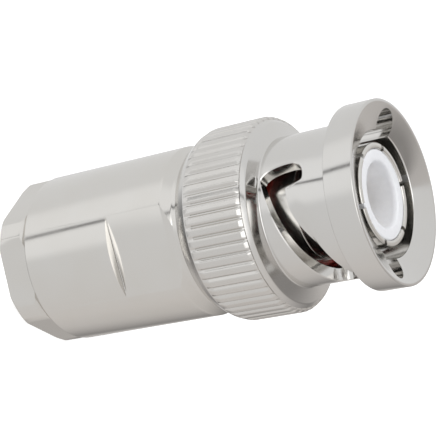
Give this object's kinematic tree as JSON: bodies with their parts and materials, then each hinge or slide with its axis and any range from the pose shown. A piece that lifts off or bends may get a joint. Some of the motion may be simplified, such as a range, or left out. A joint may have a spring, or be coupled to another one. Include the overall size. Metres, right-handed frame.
{
  "type": "bayonet coaxial cable plug",
  "caption": "Coaxial cable plug with a knurled bayonet coupling shell, slotted spring-finger contact, red mating gasket, wrench-flatted body and hexagonal clamp nut.",
  "frame": {"origin": "centre of the clamp nut's rear face, on the plug's axis; the plug stands on that face", "axes": "+Z along the plug's axis towards the mating end; +X is across the axis, between a detent pocket of the coupling shell (27 degrees off it) and the first wrench flat (6 degrees off it)"},
  "size_m": [0.0156, 0.0156, 0.0333],
  "materials": {
    "shell_nickel": "bright nickel plate over turned brass",
    "body_nickel": "satin nickel plate over turned brass",
    "contact_nickel": "nickel plate over phosphor bronze",
    "washer_nickel": "plain nickel plate",
    "spring_steel": "oiled spring steel",
    "spring_bronze": "phosphor bronze strip",
    "bare_brass": "bare turned brass",
    "gold_plate": "gold plate over brass",
    "red_silicone": "smooth red silicone rubber",
    "black_rubber": "black rubber",
    "white_ptfe": "turned white PTFE"
  },
  "bodies": {
    "plug": {"plug_body": "body_nickel", "outer_contact": "contact_nickel", "mating_gasket": "red_silicone", "front_insulator": "white_ptfe", "contact_pin": "gold_plate", "rear_insulator": "white_ptfe", "braid_clamp": "bare_brass", "cable_gasket": "black_rubber", "thrust_washer": "washer_nickel", "wave_spring": "spring_bronze"},
    "spring_seat": {"seat_washer": "washer_nickel"},
    "coupling": {"coupling_shell": "shell_nickel", "retaining_ring": "spring_steel"},
    "nut_carrier": {"slip_washer": "washer_nickel"},
    "nut": {"clamp_nut": "body_nickel"}
  },
  "joints": [
    {"name": "shell_pull", "type": "slide", "parent": "plug", "child": "spring_seat", "axis": [0, 0, 1], "range_m": [0, 0.0005], "stiffness_N_per_m": 10000, "springref_m": -0.0005, "deforming": ["wave_spring"]},
    {"name": "shell_turn", "type": "hinge", "parent": "spring_seat", "child": "coupling", "pos_m": [0, 0, 0.0212], "axis": [0, 0, 1], "continuous": true},
    {"name": "nut_travel", "type": "slide", "parent": "plug", "child": "nut_carrier", "axis": [0, 0, 1], "range_m": [-0.005, 0]},
    {"name": "nut_screw", "type": "hinge", "parent": "nut_carrier", "child": "nut", "pos_m": [0, 0, 0.003], "axis": [0, 0, 1], "range_deg": [-2400, 0]}
  ],
  "couplings": [
    {"joint": "nut_screw", "follows": "nut_travel", "rad_per_m": 8377.6}
  ]
}
